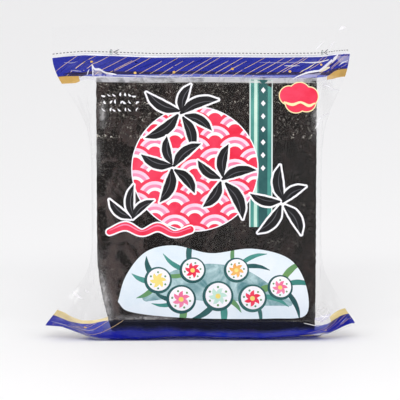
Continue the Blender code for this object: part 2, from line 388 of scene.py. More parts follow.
def haze_and_glint_share(surface, least, most=0.9):
    """How milky the film is: the least everywhere, and more where it is creased or drawn tight. The marked
    part also paints the film's highlights and sheen.
    """
    marked = surface.add("Attribute", attribute_name=HAZE_AND_GLINT).outputs["Fac"]
    broken = surface.ramp(surface.noise(160.0, 4.0, 0.65, 0.8), 0.32, 0.68, 0.35, 1.25)
    patches = surface.noise(75.0, 4.0, 0.65, 1.0)
    everywhere = surface.ramp(patches, 0.38, 0.58, 0.5 * least, 1.25 * least)
    share = surface.plus(surface.times(marked, broken), everywhere)
    return surface.math("MINIMUM", share, most)


def contact_noise(surface):
    """Low where the film lies close on the sheets, and high where air is between them."""
    return surface.noise(21.0, 6.0, 0.6, 2.2, (1.45, 1.0, 0.72))


def clear_film_material(name, haze):
    """Thin clear film: what is behind it shows through, and light glances off it. Haze is how
    milky it is where nothing marks it."""
    film = Surface(name)
    normal = film_bump(film)
    glance = film.add("Fresnel", {"IOR": 1.45, "Normal": normal}).outputs[0]
    place = film.add("SeparateXYZ", {0: film.place})
    sideways = place.outputs["X"]
    least = film.ramp(sideways, -0.06, 0.05, 0.04, 0.3)
    most = film.ramp(sideways, -0.06, 0.05, 0.8, 0.4)
    contact = film.ramp(contact_noise(film), 0.475, 0.545, least, most)
    contact = film.times(contact, film.ramp(place.outputs["Z"], 0.15, 0.19, 1.0, 0.4))
    share = film.math("MINIMUM", film.times(glance, contact), 0.055)
    edge_on = film.add("LayerWeight", {"Blend": 0.35, "Normal": normal}).outputs["Facing"]
    veil = film.times(film.math("POWER", edge_on, 3.0), 0.1)
    # The veil carries painted highlights and sheen along the haze lines
    veil = film.plus(veil, haze_and_glint_share(film, haze))

    clear = film.add("BsdfTransparent", {"Color": (0.997, 0.997, 0.998, 1.0)}).outputs[0]
    white = {"Color": (0.97, 0.96, 0.965, 1.0), "Normal": normal}
    milk = (film.add("BsdfDiffuse", white).outputs[0], film.add("BsdfTranslucent", white).outputs[0])
    milky = film.add("MixShader", {0: 0.5, 1: milk[0], 2: milk[1]}).outputs[0]
    values = {"Color": (1.0, 1.0, 1.0, 1.0), "Roughness": 0.14, "Normal": normal}
    gloss = film.add("BsdfAnisotropic", values).outputs[0]
    film.tree.nodes.remove(film.shader)
    veiled = film.add("MixShader", {0: veil, 1: clear, 2: milky}).outputs[0]
    return film.done(film.add("MixShader", {0: share, 1: veiled, 2: gloss}).outputs[0])


def inked_film_material(name, colour, tint, cover, lit_flap_cover=None):
    """Film printed with a see-through ink, which may be denser on the flap that lies forward and
    on the ear left of the stack. There it is painted light, a brighter blue, and nearer the stack it is
    painted shade, a dull grey navy."""
    film = Surface(name)
    normal = film_bump(film)
    patches = film.ramp(film.noise(30.0, 3.0, 0.6, 0.8), 0.35, 0.7)
    deeper = tuple(0.72 * part for part in colour[:3]) + (1.0,)
    base = film.blend(patches, deeper, colour)
    # Pale lavender where the haze lines run: crushed film, and painted highlights and sheen
    crush_and_sheen = haze_and_glint_share(film, 0.0, 0.8)
    base = film.blend(crush_and_sheen, base, rgb(232, 230, 248))
    if lit_flap_cover is not None:
        place = film.add("SeparateXYZ", {0: film.place}).outputs
        wander = film.ramp(film.noise(24.0, 3.0, 0.55), 0.3, 0.7, -0.0025, 0.0025)
        forward = film.ramp(film.plus(place["Y"], wander), -0.0145, -0.0205)
        left_ear = film.ramp(place["X"], -0.079, -0.085, 0.0, 0.85)
        # Painted light: the ink is denser and brighter where the flap lies forward and on the left ear
        painted_lit_share = film.math("MAXIMUM", forward, left_ear)
        cover = film.ramp(painted_lit_share, 0.0, 1.0, cover, lit_flap_cover)
        # Painted shade: nearer the stack the ink turns a dull grey navy
        base = film.blend(painted_lit_share, rgb(62, 66, 92), base)
    film.set(Base_Color=base, Roughness=0.2, Normal=normal, Specular_IOR_Level=0.35)
    clear = film.add("BsdfTransparent", {"Color": tint}).outputs[0]
    solid = film.math("MAXIMUM", crush_and_sheen, cover)
    mixed = film.add("MixShader", {0: solid, 1: clear, 2: film.shader.outputs[0]}).outputs[0]
    return film.done(mixed)


def ink_material(name, colour, second, scale=28.0):
    """Opaque ink of two tones on film, with the soft unevenness of a printed wash."""
    ink = Surface("ink " + name)
    wash = ink.ramp(ink.noise(scale, 5.0, 0.6, 0.9), 0.36, 0.66)
    grain = ink.ramp(ink.noise(1400.0, 2.0, 0.6), 0.3, 0.7, 0.0, 0.18)
    paler = tuple(min(1.0, part * 1.25 + 0.01) for part in colour[:3]) + (1.0,)
    base = ink.blend(grain, ink.blend(wash, colour, second), paler)
    ink.set(Base_Color=base, Roughness=0.22, Normal=film_bump(ink), Specular_IOR_Level=0.16)
    return ink.done()


def nori_material():
    """Roasted laver: near black, blotched with brown, with pale fibres and pressed flecks."""
    nori = Surface("nori")
    place = nori.add("SeparateXYZ", {0: nori.place})
    height = place.outputs["Z"]
    blotch = nori.ramp(contact_noise(nori), 0.472, 0.555)
    mottle = nori.ramp(nori.noise(120.0, 6.0, 0.72, 1.2), 0.38, 0.66)
    upper = nori.ramp(height, 0.171, 0.181)
    right = nori.ramp(place.outputs["X"], -0.02, 0.06)

    dark = nori.blend(mottle, (0.002, 0.0016, 0.0015, 1.0), (0.009, 0.007, 0.0066, 1.0))
    brown = nori.blend(mottle, (0.014, 0.0075, 0.007, 1.0), (0.05, 0.026, 0.0225, 1.0))
    share = nori.times(blotch, nori.ramp(upper, 0.0, 1.0, 1.0, 0.55))
    share = nori.times(share, nori.ramp(right, 0.0, 1.0, 1.0, 0.3))
    base = nori.blend(share, dark, brown)
    grain = nori.ramp(nori.noise(560.0, 5.0, 0.78), 0.46, 0.7)
    grain = nori.times(grain, nori.ramp(upper, 0.0, 1.0, 0.28, 0.42))
    base = nori.blend(grain, base, (0.085, 0.066, 0.058, 1.0))

    depth = nori.add("SeparateXYZ", {0: nori.add("TexCoord").outputs["Normal"]}).outputs["Y"]
    edge_on = nori.ramp(nori.math("ABSOLUTE", depth), 0.8, 0.3)
    layers = nori.ramp(nori.noise(520.0, 3.0, 0.7, 0.0, (0.02, 1.0, 0.02)), 0.4, 0.62)
    base = nori.blend(nori.times(edge_on, layers), base, (0.085, 0.07, 0.058, 1.0))

    marks = nori.ramp(nori.noise(290.0, 2.0, 0.5, 2.4), 0.63, 0.665)
    specks = nori.ramp(nori.noise(560.0, 2.0, 0.5, 1.0), 0.645, 0.7)
    chance = nori.ramp(nori.noise(70.0, 4.0, 0.7), 0.42, 0.6)
    folds = nori.plus(*(row_mask(nori, height, line * MM) for line in FOLD_LINES))
    often = nori.times(nori.ramp(upper, 0.0, 1.0, 0.12, 0.46), chance)
    often = nori.plus(often, folds)
    fleck = nori.times(nori.math("MAXIMUM", marks, specks), often)
    fleck = nori.math("MINIMUM", fleck, 0.95)
    base = nori.blend(fleck, base, (0.66, 0.62, 0.55, 1.0))

    relief = nori.plus(nori.noise(420.0, 5.0, 0.7), nori.noise(70.0, 3.0, 0.6, 0.8))
    nori.set(Base_Color=base, Roughness=nori.ramp(mottle, 0.0, 1.0, 0.42, 0.66))
    nori.set(Normal=nori.bump(relief, 0.5, 0.0009), Specular_IOR_Level=0.12)
    return nori.done()


def row_mask(surface, height, level):
    """1 along a level row a few millimetres high, broken up along its length."""
    wander = surface.ramp(surface.noise(40.0, 2.0, 0.5), 0.2, 0.8, -0.0016, 0.0016)
    off = surface.math("SUBTRACT", surface.plus(height, wander), level)
    away = surface.math("ABSOLUTE", off)
    near = surface.ramp(away, 0.0026, 0.0005)
    broken = surface.ramp(surface.noise(50.0, 2.0, 0.5), 0.4, 0.52)
    return surface.times(near, broken)


def paper_material():
    """White fibrous paper, a little grey over the beads that press through it."""
    paper = Surface("sachet paper")
    fibre = paper.noise(600.0, 6.0, 0.7, 0.0, (1.0, 1.0, 0.4))
    beads = paper.ramp(paper.noise(340.0, 1.0, 0.4), 0.36, 0.62)
    tone = paper.blend(fibre, rgb(240, 238, 231), rgb(250, 249, 245))
    tone = paper.blend(beads, rgb(214, 212, 205), tone)
    paper.set(Base_Color=tone, Roughness=0.82, Normal=paper.bump(fibre, 0.35, 0.0005))
    return paper.done()


# The film


def smooth_track(values, places, wanted):
    """Values given at the stations' places, rounded over a few millimetres, at the wanted ones."""
    step = 0.5
    reach = int(STATION_ROUNDING / step)
    fine = np.arange(places[0] - 4 * reach * step, places[-1] + 4 * reach * step, step)
    low = np.interp(fine, places, values)
    slope_start = (values[1] - values[0]) / (places[1] - places[0])
    slope_end = (values[-1] - values[-2]) / (places[-1] - places[-2])
    low = np.where(fine < places[0], values[0] + (fine - places[0]) * slope_start, low)
    low = np.where(fine > places[-1], values[-1] + (fine - places[-1]) * slope_end, low)
    kernel = np.ones(2 * reach + 1) / (2 * reach + 1)
    for _ in range(2):
        low = np.convolve(np.pad(low, reach, mode="edge"), kernel, mode="valid")
    return np.interp(wanted, fine, low)


def smoothstep(low, high, value):
    share = np.clip((value - low) / (high - low), 0.0, 1.0)
    return share * share * (3 - 2 * share)


def perlin_field(across, along, scale_x, scale_h, seed):
    """Soft noise over a grid, about -1 to 1."""
    flat = zip(across.ravel() / scale_x, along.ravel() / scale_h)
    values = [perlin.noise(Vector((x, h, seed * 7.31))) for x, h in flat]
    return np.array(values).reshape(across.shape) * 1.6


def add_ridge(field, across, along, crease):
    """One fold line in the film, as a ridge along a segment of the film's own plane."""
    start, end, height, width = crease
    step = np.subtract(end, start)
    length = np.hypot(*step)
    unit = step / length
    dx, dh = across - start[0], along - start[1]
    share = (dx * unit[0] + dh * unit[1]) / length
    aside = np.abs(dh * unit[0] - dx * unit[1])
    taper = np.clip(1 - np.abs(2 * share - 1), 0, 1) ** 0.6
    field += height * taper * np.exp(-aside / width)


def scatter_creases(draw, count, area, lean, lengths, heights, widths):
    """Small folds strewn over an area of the film, all leaning about one way, in degrees."""
    made = []
    for _ in range(count):
        x, h = draw.uniform(area[0], area[2]), draw.uniform(area[1], area[3])
        angle = math.radians(draw.gauss(*lean))
        reach = draw.uniform(*lengths) / 2
        step = np.array((math.cos(angle), math.sin(angle))) * reach
        height = draw.uniform(*heights) * draw.choice((-1, 1))
        made.append(((x, h) - step, (x, h) + step, height, draw.uniform(*widths)))
    return made


class Film:
    """The tube as two grids of points, front and back, which share their side edges."""

    def __init__(self):
        self.station_places()
        self.rows = self.row_heights()
        self.columns = self.column_places()
        self.share = np.clip((np.abs(self.columns) - SIDE_X) / EAR_WIDTH, 0, 1)
        across, along = np.meshgrid(self.columns, self.rows)
        self.across, self.along = across, along + self.ink_drift(across, along)
        stations = np.array([(*front, *back, *edge, curl) for front, back, edge, curl in STATIONS])
        tracks = [smooth_track(values, self.places, self.along) for values in stations.T]
        front, back = self.half(tracks, 0), self.half(tracks, 1)
        self.front, self.back = self.creased(front, back)

    def station_places(self):
        """Each station's place along the front film, which is its height where that is upright."""
        points = np.array([station[0] for station in STATIONS])
        steps = np.hypot(*np.diff(points, axis=0).T)
        places = np.concatenate(([0.0], np.cumsum(steps)))
        upright = 12
        self.places = places - places[upright] + STATIONS[upright][0][1]
        self.heights = points[:, 1]

    def place_of(self, height):
        """The place along the front film at a height above the flap."""
        return float(np.interp(height, self.heights[2:], self.places[2:]))

    def row_heights(self):
        """Rows of even steps between the places where an ink or a finish begins or ends."""
        start, foot = self.places[0], self.place_of(LOWER_INK_TOP)
        head = self.place_of(UPPER_INK_TOP)
        self.at = {
            "flap edge": start,
            "low ink": start + FLAP_MARGIN,
            "low gold": foot,
            "face": foot + LOWER_GOLD,
            "tight": self.place_of(TIGHT_BASE),
            "high gold": self.place_of(UPPER_GOLD_BASE),
            "high ink": self.place_of(UPPER_INK_BASE),
            "edge line": head,
            "header": head + EDGE_LINE,
            "header edge": self.places[-1],
        }
        keys = list(self.at.values())
        rows = [start]
        for low, high in zip(keys, keys[1:]):
            count = max(1, round((high - low) / ROW_STEP))
            rows += list(np.linspace(low, high, count + 1)[1:])
        return np.array(rows)

    def column_places(self):
        face = np.linspace(-SIDE_X, SIDE_X, FACE_COLUMNS + 1)
        side = SIDE_X + np.linspace(0, EAR_WIDTH, SIDE_STEPS + 1)[1:]
        return np.concatenate((-side[::-1], face, side))

    def ink_drift(self, across, along):
        """How far the inks' edges wander from their straight rows."""
        at = self.at
        near_ink = np.exp(-(((along - at["high ink"]) / 7.0) ** 2))
        right_ear = 5.0 * smoothstep(106, 120, across) * near_ink
        wide_gold = -3.0 * smoothstep(108, 118, np.abs(across))
        wide_gold *= smoothstep(150, at["high gold"], along)
        wide_gold *= 1 - smoothstep(at["high gold"], at["high ink"], along)
        low_ears = -np.interp(across, *np.array(LOW_INK_DROP).T)
        low_ears *= smoothstep(at["flap edge"] + 0.5, at["low gold"], along)
        low_ears *= 1 - smoothstep(at["face"], at["face"] + 45, along)
        low_gold = np.interp(across, *np.array(LOW_GOLD_RISE).T)
        low_gold *= smoothstep(at["low gold"], at["face"], along)
        low_gold *= 1 - smoothstep(at["face"], at["face"] + 25, along)
        sway = 0.5 * perlin_field(across, along, 60.0, 90.0, 3)
        sway *= smoothstep(at["flap edge"] + 1, at["low ink"], along)
        sway *= 1 - smoothstep(at["header"], at["header edge"] - 1, along)
        return right_ear + wide_gold + low_ears + low_gold + sway

    def haze(self):
        """How milky the front film is at each of its points, its painted highlights and sheen included."""
        field = np.zeros_like(self.across)
        for haze_line in HAZE_AND_GLINT_LINES:
            field = np.maximum(field, self.folded(np.zeros_like(field), [haze_line]))
        return field

    def folded(self, field, creases):
        for crease in creases:
            add_ridge(field, self.across, self.along, crease)
        return field

    def half(self, tracks, layer):
        """One film, front 0 or back 1, before it creases."""
        film_y, film_z = tracks[2 * layer : 2 * layer + 2]
        edge, edge_y, edge_z, curl = tracks[4:]
        share = np.broadcast_to(self.share, film_y.shape)
        curled = np.interp(share, CURLED_SHARES, CURLED_PULL)
        pull = (1 - share) * (1 - curl) + curled * curl
        y, z = edge_y + (film_y - edge_y) * pull, edge_z + (film_z - edge_z) * pull
        side = np.sign(self.across)
        x = np.where(share > 0, side * (SIDE_X + (edge - SIDE_X) * share), self.across)
        x = x - STACK_X * np.clip((edge - BODY_EDGE) / (EAR_EDGE - BODY_EDGE), 0, 1) * share
        if layer:
            bulge = np.clip(1 - (x / SIDE_X) ** 2, 0, 1)
            bulge *= np.clip(1 - ((z - BULGE_HEIGHT) / BULGE_REACH) ** 2, 0, 1)
            y = y + BACK_BULGE * bulge
        points = np.stack((x, y, z), axis=-1)
        for _ in range(4):
            inner = (points[:, :-2] + 2 * points[:, 1:-1] + points[:, 2:]) / 4
            points[:, 1:-1] = inner
        return points

    def creased(self, front, back):
        """Both films with their waves and creases: apart where they stand apart, and together
        where they lie on each other."""
        middle = (front + back) / 2
        gap = np.linalg.norm(front - back, axis=-1)
        together = 1 - smoothstep(ONE_LAYER_GAP, TWO_LAYER_GAP, gap)
        facing = {"front": normals(front), "back": -normals(back)}
        joint = normals(middle)
        own = {"front": self.front_waves(), "back": self.back_waves()}
        shared = self.shared_waves() * together
        shared = np.where(self.along < self.at["low gold"], np.abs(shared) * 0.6, shared)

        thin = np.clip((LEAST_GAP - gap) / 2, 0, None)[..., None]
        made = []
        for name, film, way in (("front", front, 1), ("back", back, -1)):
            apart = own[name] * (1 - together) * (1 - self.share**6)
            moved = film + facing[name] * apart[..., None] + joint * shared[..., None]
            inner = (self.share < 1)[None, :, None]
            made.append(moved + way * joint * (thin + HALF_GAP) * inner)
        for film in made:
            film[..., 2] += self.edge_lift() + self.flap_lift(front)
            film[..., 0] += STACK_X
            film[..., 1] += STACK_Y
            film[..., 2] = np.maximum(film[..., 2], FLOOR_GAP)
        return made

    def edge_lift(self):
        """How the upper band rises and dips along its length."""
        lift = np.interp(self.across, *np.array(BAND_RISE).T)
        return lift * smoothstep(self.at["tight"] - 20, self.at["edge line"], self.along)

    def flap_lift(self, front):
        """How the flap's free edge stands off the surface, fading towards the stack."""
        wanted = np.interp(self.columns, *np.array(FLAP_EDGE).T)
        rise = (wanted - front[0, :, 2])[None, :]
        return rise * (1 - smoothstep(self.at["flap edge"], self.at["low gold"], self.along))

    def front_waves(self):
        """Creases of the front film: at its ears, its rims, the upper band and the face."""
        at = self.at
        draw = random.Random(SEED)
        field = 0.22 * perlin_field(self.across, self.along, 34.0, 60.0, 1)
        creases = []
        for side in (-1, 1):
            low, high = sorted((side * 98, side * 132))
            ear = (low, at["flap edge"], high, at["face"] + 34)
            lean = 118 if side < 0 else 62
            creases += scatter_creases(draw, 26, ear, (lean, 26), (12, 34), (0.3, 1.3), (0.9, 2.6))
            top = (low, at["tight"] - 42, high, at["high ink"])
            creases += scatter_creases(draw, 30, top, (lean - 90, 30), (12, 34), (0.3, 1.5), (0.9, 2.6))
            rim, tilt = (side * 94 - 4, 20, side * 94 + 4, 215), (90 - side * 20, 16)
            creases += scatter_creases(draw, 34, rim, tilt, (8, 22), (0.1, 0.35), (0.8, 1.6))
        band = (-95, at["tight"] + 2, 95, at["edge line"] - 4)
        creases += scatter_creases(draw, 34, band, (4, 14), (14, 46), (0.15, 0.7), (0.7, 1.8))
        face = (-92, 20, 92, 218)
        creases += scatter_creases(draw, 46, face, (85, 35), (14, 50), (0.06, 0.22), (1.0, 2.2))
        field = self.folded(field, creases + list(FRONT_FOLDS))
        over_stack = (np.abs(self.across) < 97) & (self.along > 15) & (self.along < 226)
        return np.where(over_stack, np.clip(field, -0.75, 1.2), field)

    def back_waves(self):
        draw = random.Random(SEED + 1)
        field = 0.8 * perlin_field(self.across, self.along, 38.0, 52.0, 5)
        area = (-128, self.at["flap edge"], 128, self.at["edge line"])
        creases = scatter_creases(draw, 150, area, (80, 50), (16, 60), (0.2, 0.9), (1.0, 2.6))
        return np.clip(self.folded(field, creases), -0.9, 2.4)

    def shared_waves(self):
        draw = random.Random(SEED + 2)
        field = 1.3 * perlin_field(self.across, self.along, 55.0, 40.0, 9)
        header = (-126, self.at["edge line"], 126, self.at["header edge"])
        creases = scatter_creases(draw, 26, header, (75, 30), (10, 30), (0.2, 0.8), (0.9, 2.2))
        corner = (98, self.at["high ink"], 130, self.at["header edge"])
        creases += scatter_creases(draw, 16, corner, (50, 20), (8, 22), (0.5, 1.4), (0.8, 1.8))
        return self.folded(field, creases)

    def ring_mesh(self):
        """The tube's points, its faces, and each face's place in the grid."""
        rows, columns = self.front.shape[:2]
        ring = np.concatenate((self.front, self.back[:, -2:0:-1]), axis=1)
        around = ring.shape[1]
        faces, places = [], []
        for row in range(rows - 1):
            for here in range(around):
                after = (here + 1) % around
                low, high = row * around, (row + 1) * around
                faces.append((low + here, low + after, high + after, high + here))
                column = here if here < columns - 1 else 2 * columns - 3 - here
                places.append((row, column, here < columns - 1))
        return ring.reshape(-1, 3), faces, places

    def on(self, x, along, lift, back=False):
        """Points on the film at places along its own plane, lifted off it by a little."""
        film = self.back if back else self.front
        facing = -normals(film) if back else normals(film)
        col = np.interp(x, self.columns, np.arange(len(self.columns)))
        row = np.interp(along, self.rows, np.arange(len(self.rows)))
        c = np.minimum(col.astype(int), len(self.columns) - 2)
        r = np.minimum(row.astype(int), len(self.rows) - 2)
        u, v = (col - c)[:, None], (row - r)[:, None]

        def sample(grid):
            low = grid[r, c] * (1 - u) + grid[r, c + 1] * u
            high = grid[r + 1, c] * (1 - u) + grid[r + 1, c + 1] * u
            return low * (1 - v) + high * v

        return sample(film) + sample(facing) * lift


def normals(points):
    """Unit normals of a grid that runs right and up, facing the front."""
    along = np.gradient(points, axis=0)
    across = np.gradient(points, axis=1)
    out = np.cross(across, along)
    return out / np.maximum(np.linalg.norm(out, axis=-1, keepdims=True), 1e-9)


def finish_of(stretch, x, is_front):
    """The name of the finish on a place of the film, from the stretch of rows that it is in."""
    if stretch in ("low gold", "high gold"):
        bare = "clear" if stretch == "low gold" else "hazed_glint"
        shows = abs(x) > GOLD_FROM[int(x > 0)][stretch == "high gold"] or not is_front
        return stretch if shows else bare
    # The strip over the stack's top edge is milky film with the fold's highlight painted in
    if stretch == "tight":
        return "hazed_glint" if is_front and abs(x) < SIDE_X else "clear"
    return stretch if stretch in ("low ink", "high ink", "edge line") else "clear"


def build_film(film, finishes):
    """The bag, with a finish for each stretch of its rows, milky along the haze lines, where painted
    highlights and sheen lie too, and sharp along its side edges."""
    points, faces, places = film.ring_mesh()
    stretches, names = list(film.at), list(finishes)
    starts = np.array(list(film.at.values()))
    slots = []
    for row, column, is_front in places:
        stretch = stretches[int(np.searchsorted(starts, film.rows[row] + 0.01)) - 1]
        slots.append(names.index(finish_of(stretch, film.columns[column], is_front)))
    materials = list(finishes.values())
    bag = add_mesh("film", points, faces, materials, ["film_bag"], slots)
    front = film.haze()
    ring = np.concatenate((front, np.zeros_like(front[:, -2:0:-1])), axis=1)
    bag.data.attributes.new(HAZE_AND_GLINT, "FLOAT", "POINT").data.foreach_set("value", ring.ravel())

    ends = np.empty(2 * len(bag.data.edges), np.int32)
    bag.data.edges.foreach_get("vertices", ends)
    around, last = ring.shape[1], len(film.columns) - 1
    at_side = np.isin(ends.reshape(-1, 2) % around, (0, last)).all(axis=1)
    bag.data.attributes.new("sharp_edge", "BOOLEAN", "EDGE").data.foreach_set("value", at_side)


# Shapes for printing: an outline in the film's plane, its ink, and an outline it is clipped to, if any


def arc(x, y, radius, start, end, count):
    angles = np.radians(np.linspace(start, end, count))
    return np.stack((x + radius * np.cos(angles), y + radius * np.sin(angles)), axis=1)


def disc(x, y, radius, count=36):
    return arc(x, y, radius, 0, 360, count + 1)[:-1]


def box(left, low, right, high):
    return np.array(((left, low), (right, low), (right, high), (left, high)), float)


def curve_through(points, count):
    """A smooth line through a few points."""
    points = np.array(points, float)
    ends = np.concatenate((2 * points[:1] - points[1:2], points, 2 * points[-1:] - points[-2:-1]))
    spots = np.linspace(0, len(points) - 1, count)
    made = []
    for spot in spots:
        leg = min(int(spot), len(points) - 2)
        t = spot - leg
        a, b, c, d = ends[leg : leg + 4]
        bend, twist = 2 * a - 5 * b + 4 * c - d, 3 * b - a - 3 * c + d
        made.append(0.5 * (2 * b + (c - a) * t + bend * t**2 + twist * t**3))
    return np.array(made)


def stroke(points, widths, count=22, border=0.0):
    """A brush stroke along a line, with a width at each point and round ends."""
    line = curve_through(points, count)
    half = np.interp(np.linspace(0, 1, count), np.linspace(0, 1, len(widths)), widths) / 2 + border
    along = np.gradient(line, axis=0)
    along /= np.linalg.norm(along, axis=1, keepdims=True)
    aside = np.stack((-along[:, 1], along[:, 0]), axis=1)
    left, right = line + aside * half[:, None], line - aside * half[:, None]
    caps = []
    for end, way in ((-1, 0), (0, 180)):
        turn = math.degrees(math.atan2(*along[end][::-1])) + way
        caps.append(arc(*line[end], half[end], turn - 90, turn + 90, 9)[1:-1])
    return np.concatenate((right, caps[0], left[::-1], caps[1]))


def leaf(x, y, angle, length, width, bend=0.12, border=0.0):
    """A pointed leaf from its stem end."""
    turn = math.radians(angle)
    tip = np.array((math.cos(turn), math.sin(turn))) * length
    side = np.array((-math.sin(turn), math.cos(turn))) * length * bend
    start = np.array((x, y), float)
    points = (start, start + tip * 0.35 + side, start + tip * 0.7 + side * 0.9, start + tip)
    return stroke(points, (width * 0.25, width * 0.9, width, width * 0.7, 0.5), 20, border)


def inside(points, outline):
    """Which points an outline winds round."""
    turns = np.zeros(len(points), int)
    ends = np.roll(outline, -1, axis=0)
    for (ax, ay), (bx, by) in zip(outline, ends):
        cross = (bx - ax) * (points[:, 1] - ay) - (points[:, 0] - ax) * (by - ay)
        turns += (ay <= points[:, 1]) & (by > points[:, 1]) & (cross > 0)
        turns -= (ay > points[:, 1]) & (by <= points[:, 1]) & (cross < 0)
    return turns != 0


def print_on(film, name, shapes, inks, lift, cell=6.0, back=False):
    """One layer of ink on the film: later shapes cover earlier ones, and none overlap."""
    corners, edges = [], []
    for outline, *_ in shapes:
        first = len(corners)
        corners += [Vector(p) for p in outline]
        edges += [(first + k, first + (k + 1) % len(outline)) for k in range(len(outline))]
    everything = np.array([tuple(p) for p in corners])
    low, high = everything.min(0), everything.max(0)
    for x in np.arange(low[0], high[0], cell):
        corners += [Vector((x + 0.013, y + 0.017)) for y in np.arange(low[1], high[1], cell)]
    verts, _, tris, _, _, _ = delaunay_2d_cdt(corners, edges, [], 0, 0.002, False)
    flat = np.array([tuple(v) for v in verts])
    tris = np.array(tris)
    middles = flat[tris].mean(axis=1)
    ink_of = np.full(len(tris), -1)
    names = []
    for outline, ink, *clips in shapes:
        if ink not in names:
            names.append(ink)
        near = np.all((middles >= outline.min(0)) & (middles <= outline.max(0)), axis=1)
        near = np.flatnonzero(near)
        hit = inside(middles[near], outline)
        for clip in clips:
            hit &= inside(middles[near], clip)
        ink_of[near[hit]] = names.index(ink)
    kept = ink_of >= 0
    tris, ink_of = tris[kept], ink_of[kept]
    used, renamed = np.unique(tris, return_inverse=True)
    points = film.on(flat[used, 0], flat[used, 1], lift, back)
    tris = renamed.reshape(-1, 3)
    if back:
        tris = tris[:, ::-1]
    add_mesh(name, points, tris, [inks[n] for n in names], (), ink_of)


# The front print: a generic design of waves, leaves, balls and a ribbon


def wave_disc(x, y, radius):
    """A disc filled with rows of overlapping wave scales."""
    clip = disc(x, y, radius, 72)
    shapes = [(disc(x, y, radius + 1.0, 72), "white"), (clip, "pale pink")]
    scale = radius / 3.1
    rings = ((1.0, "red"), (0.84, "pale pink"), (0.68, "pink"), (0.52, "white"), (0.36, "red"))
    rows = 11
    for row in range(-1, rows):
        level = y + radius - (row + 0.35) * scale * 0.56
        for column in range(-4, 5):
            middle = x + (column + 0.5 * (row % 2)) * scale * 1.98
            for share, ink in rings:
                shapes.append((disc(middle, level - scale, scale * share, 40), ink, clip))
    return shapes


def sprays():
    """Five sprays, each from its joint, with its leaves' offsets, angles, lengths and widths."""
    shapes = spray(-22, 196, ((0, 0, 20, 34, 9), (0, 2, 70, 24, 8), (-2, 2, 150, 32, 9),
                              (-3, -2, 215, 34, 10), (2, -4, 285, 30, 9), (4, -2, 330, 26, 8)))
    shapes += spray(-30, 150, ((0, 0, 160, 28, 9), (0, 2, 100, 24, 8), (2, 0, 40, 30, 9),
                               (0, -4, 250, 30, 10), (3, -4, 310, 26, 9)))
    shapes += spray(14, 138, ((0, 0, 15, 30, 9), (0, 3, 80, 28, 9), (-3, 1, 140, 24, 8),
                              (-2, -3, 235, 26, 9), (3, -4, 295, 34, 10)))
    shapes += spray(66, 118, ((0, 0, 35, 24, 8), (0, 2, 95, 30, 9), (-3, 0, 165, 26, 8),
                              (-2, -4, 230, 30, 9), (2, -4, 300, 28, 9)))
    return shapes + spray(-64, 104, ((0, 0, 40, 24, 7), (0, 1, 88, 28, 7), (-2, 0, 138, 24, 7)))


def spray(x, y, leaves):
    """Dark leaves with a white edge and a grey midrib, fanned from one joint of a stem."""
    shapes = []
    for border, ink in ((1.7, "white"), (0.0, "black")):
        for dx, dy, angle, length, width in leaves:
            shapes.append((leaf(x + dx, y + dy, angle, length, width, 0.1, border), ink))
    for dx, dy, angle, length, width in leaves:
        turn = math.radians(angle)
        start = (x + dx + 3 * math.cos(turn), y + dy + 3 * math.sin(turn))
        shapes.append((leaf(*start, angle, length - 7, 0.7, 0.1), "charcoal"))
    return shapes


def ball(x, y, radius, petals, turn):
    """A ball with a dark rim, a white ground, a flower of six petals and a ring of dots."""
    shapes = [(disc(x, y, radius, 40), "dark teal")]
    shapes.append((disc(x + 0.4, y + 0.6, radius * 0.83, 36), "white"))
    for petal in range(6):
        angle = turn + petal * 60
        shapes.append((leaf(x, y, angle, radius * 0.58, radius * 0.3), petals))
        between = math.radians(angle + 30)
        dot = (x + radius * 0.6 * math.cos(between), y + radius * 0.6 * math.sin(between))
        shapes.append((disc(*dot, radius * 0.075, 10), "green"))
    shapes.append((disc(x, y, radius * 0.17, 16), "yellow"))
    return shapes


def stripe(left, right, low, high):
    """An upright band of teal with pale edges and a column of small diamonds."""
    width = right - left
    parts = ((0.0, 1.0, "pale edge"), (0.05, 0.95, "teal"))
    parts += ((0.2, 0.34, "mint"), (0.4, 0.78, "dark teal"))
    shapes = [(box(left + a * width, low, left + b * width, high), ink) for a, b, ink in parts]
    middle = left + 0.59 * width
    for step in range(7):
        y = high - 9 - step * 11.5
        diamond = np.array(((middle, y - 2.6), (middle + 2.0, y), (middle, y + 2.6), (middle - 2.0, y)))
        shapes.append((diamond, "white"))
    return shapes


def flower_panel():
    """A pale panel of seven balls, with leaves behind them and their washed shadow."""
    rim = ((-77, 30), (-70, 53), (-53, 74), (-28, 80), (4, 73), (40, 77), (72, 68), (87, 44), (86, 21))
    rim += ((60, 15.2), (4, 14.8), (-38, 16.6), (-68, 21.5), (-77, 30))
    panel = curve_through(rim, 90)[:-1]
    shadow = ((-52, 34), (-26, 45), (2, 47), (28, 45), (52, 36), (72, 30))
    shapes = [(panel, "pale blue")]
    shapes.append((stroke(shadow, (8, 26, 34, 30, 20, 6), 40), "teal wash", panel))

    balls = ((-42, 49, 12, "yellow"), (-22, 32, 13, "pink"), (-12, 58, 11.5, "red"))
    balls += ((10, 35, 13.5, "mint"), (40, 33, 12.5, "red"), (26, 58, 11, "orange"))
    balls += ((64, 43, 11, "pink"),)
    heart_x, heart_y = 8, 44
    draw = random.Random(SEED + 5)
    for x, y, radius, _ in balls:
        outward = math.degrees(math.atan2(y - heart_y, x - heart_x))
        for index, ink in enumerate(("dark teal", "teal", "green")):
            angle = outward + 48 * (index - 1) + draw.uniform(-14, 14)
            length, width = radius + draw.uniform(10, 22), draw.uniform(3.5, 6.5)
            shapes.append((leaf(x, y, angle, length, width), ink, panel))
    for index, (x, y, radius, petals) in enumerate(balls):
        shapes += ball(x, y, radius, petals, 20 * index)
    return shapes


